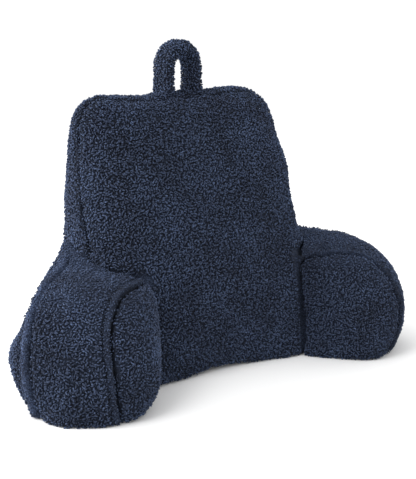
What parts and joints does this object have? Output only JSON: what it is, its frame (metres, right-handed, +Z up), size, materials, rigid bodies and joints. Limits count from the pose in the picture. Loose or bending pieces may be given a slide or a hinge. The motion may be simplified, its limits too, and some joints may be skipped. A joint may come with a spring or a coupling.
{
  "type": "reading pillow with arms",
  "caption": "Wedge back cushion with splayed round-ended arms and a carrying loop, covered in short curly pile.",
  "frame": {"origin": "centre of the bounding box's underside, on the surface the pillow stands on", "axes": "+Z up, -Y the side the sitter leans on, +X across the width towards the arm at the right of the picture"},
  "size_m": [0.8125, 0.391, 0.5691],
  "materials": {
    "pile_back": "short curly pile, matt navy",
    "pile_arm_left": "short curly pile, matt navy",
    "pile_arm_right": "short curly pile, matt navy",
    "pile_handle": "short curly pile, matt navy"
  },
  "bodies": {
    "root": {"back_cushion": "pile_back", "arm_left": "pile_arm_left", "arm_right": "pile_arm_right", "handle_loop": "pile_handle"}
  },
  "joints": []
}
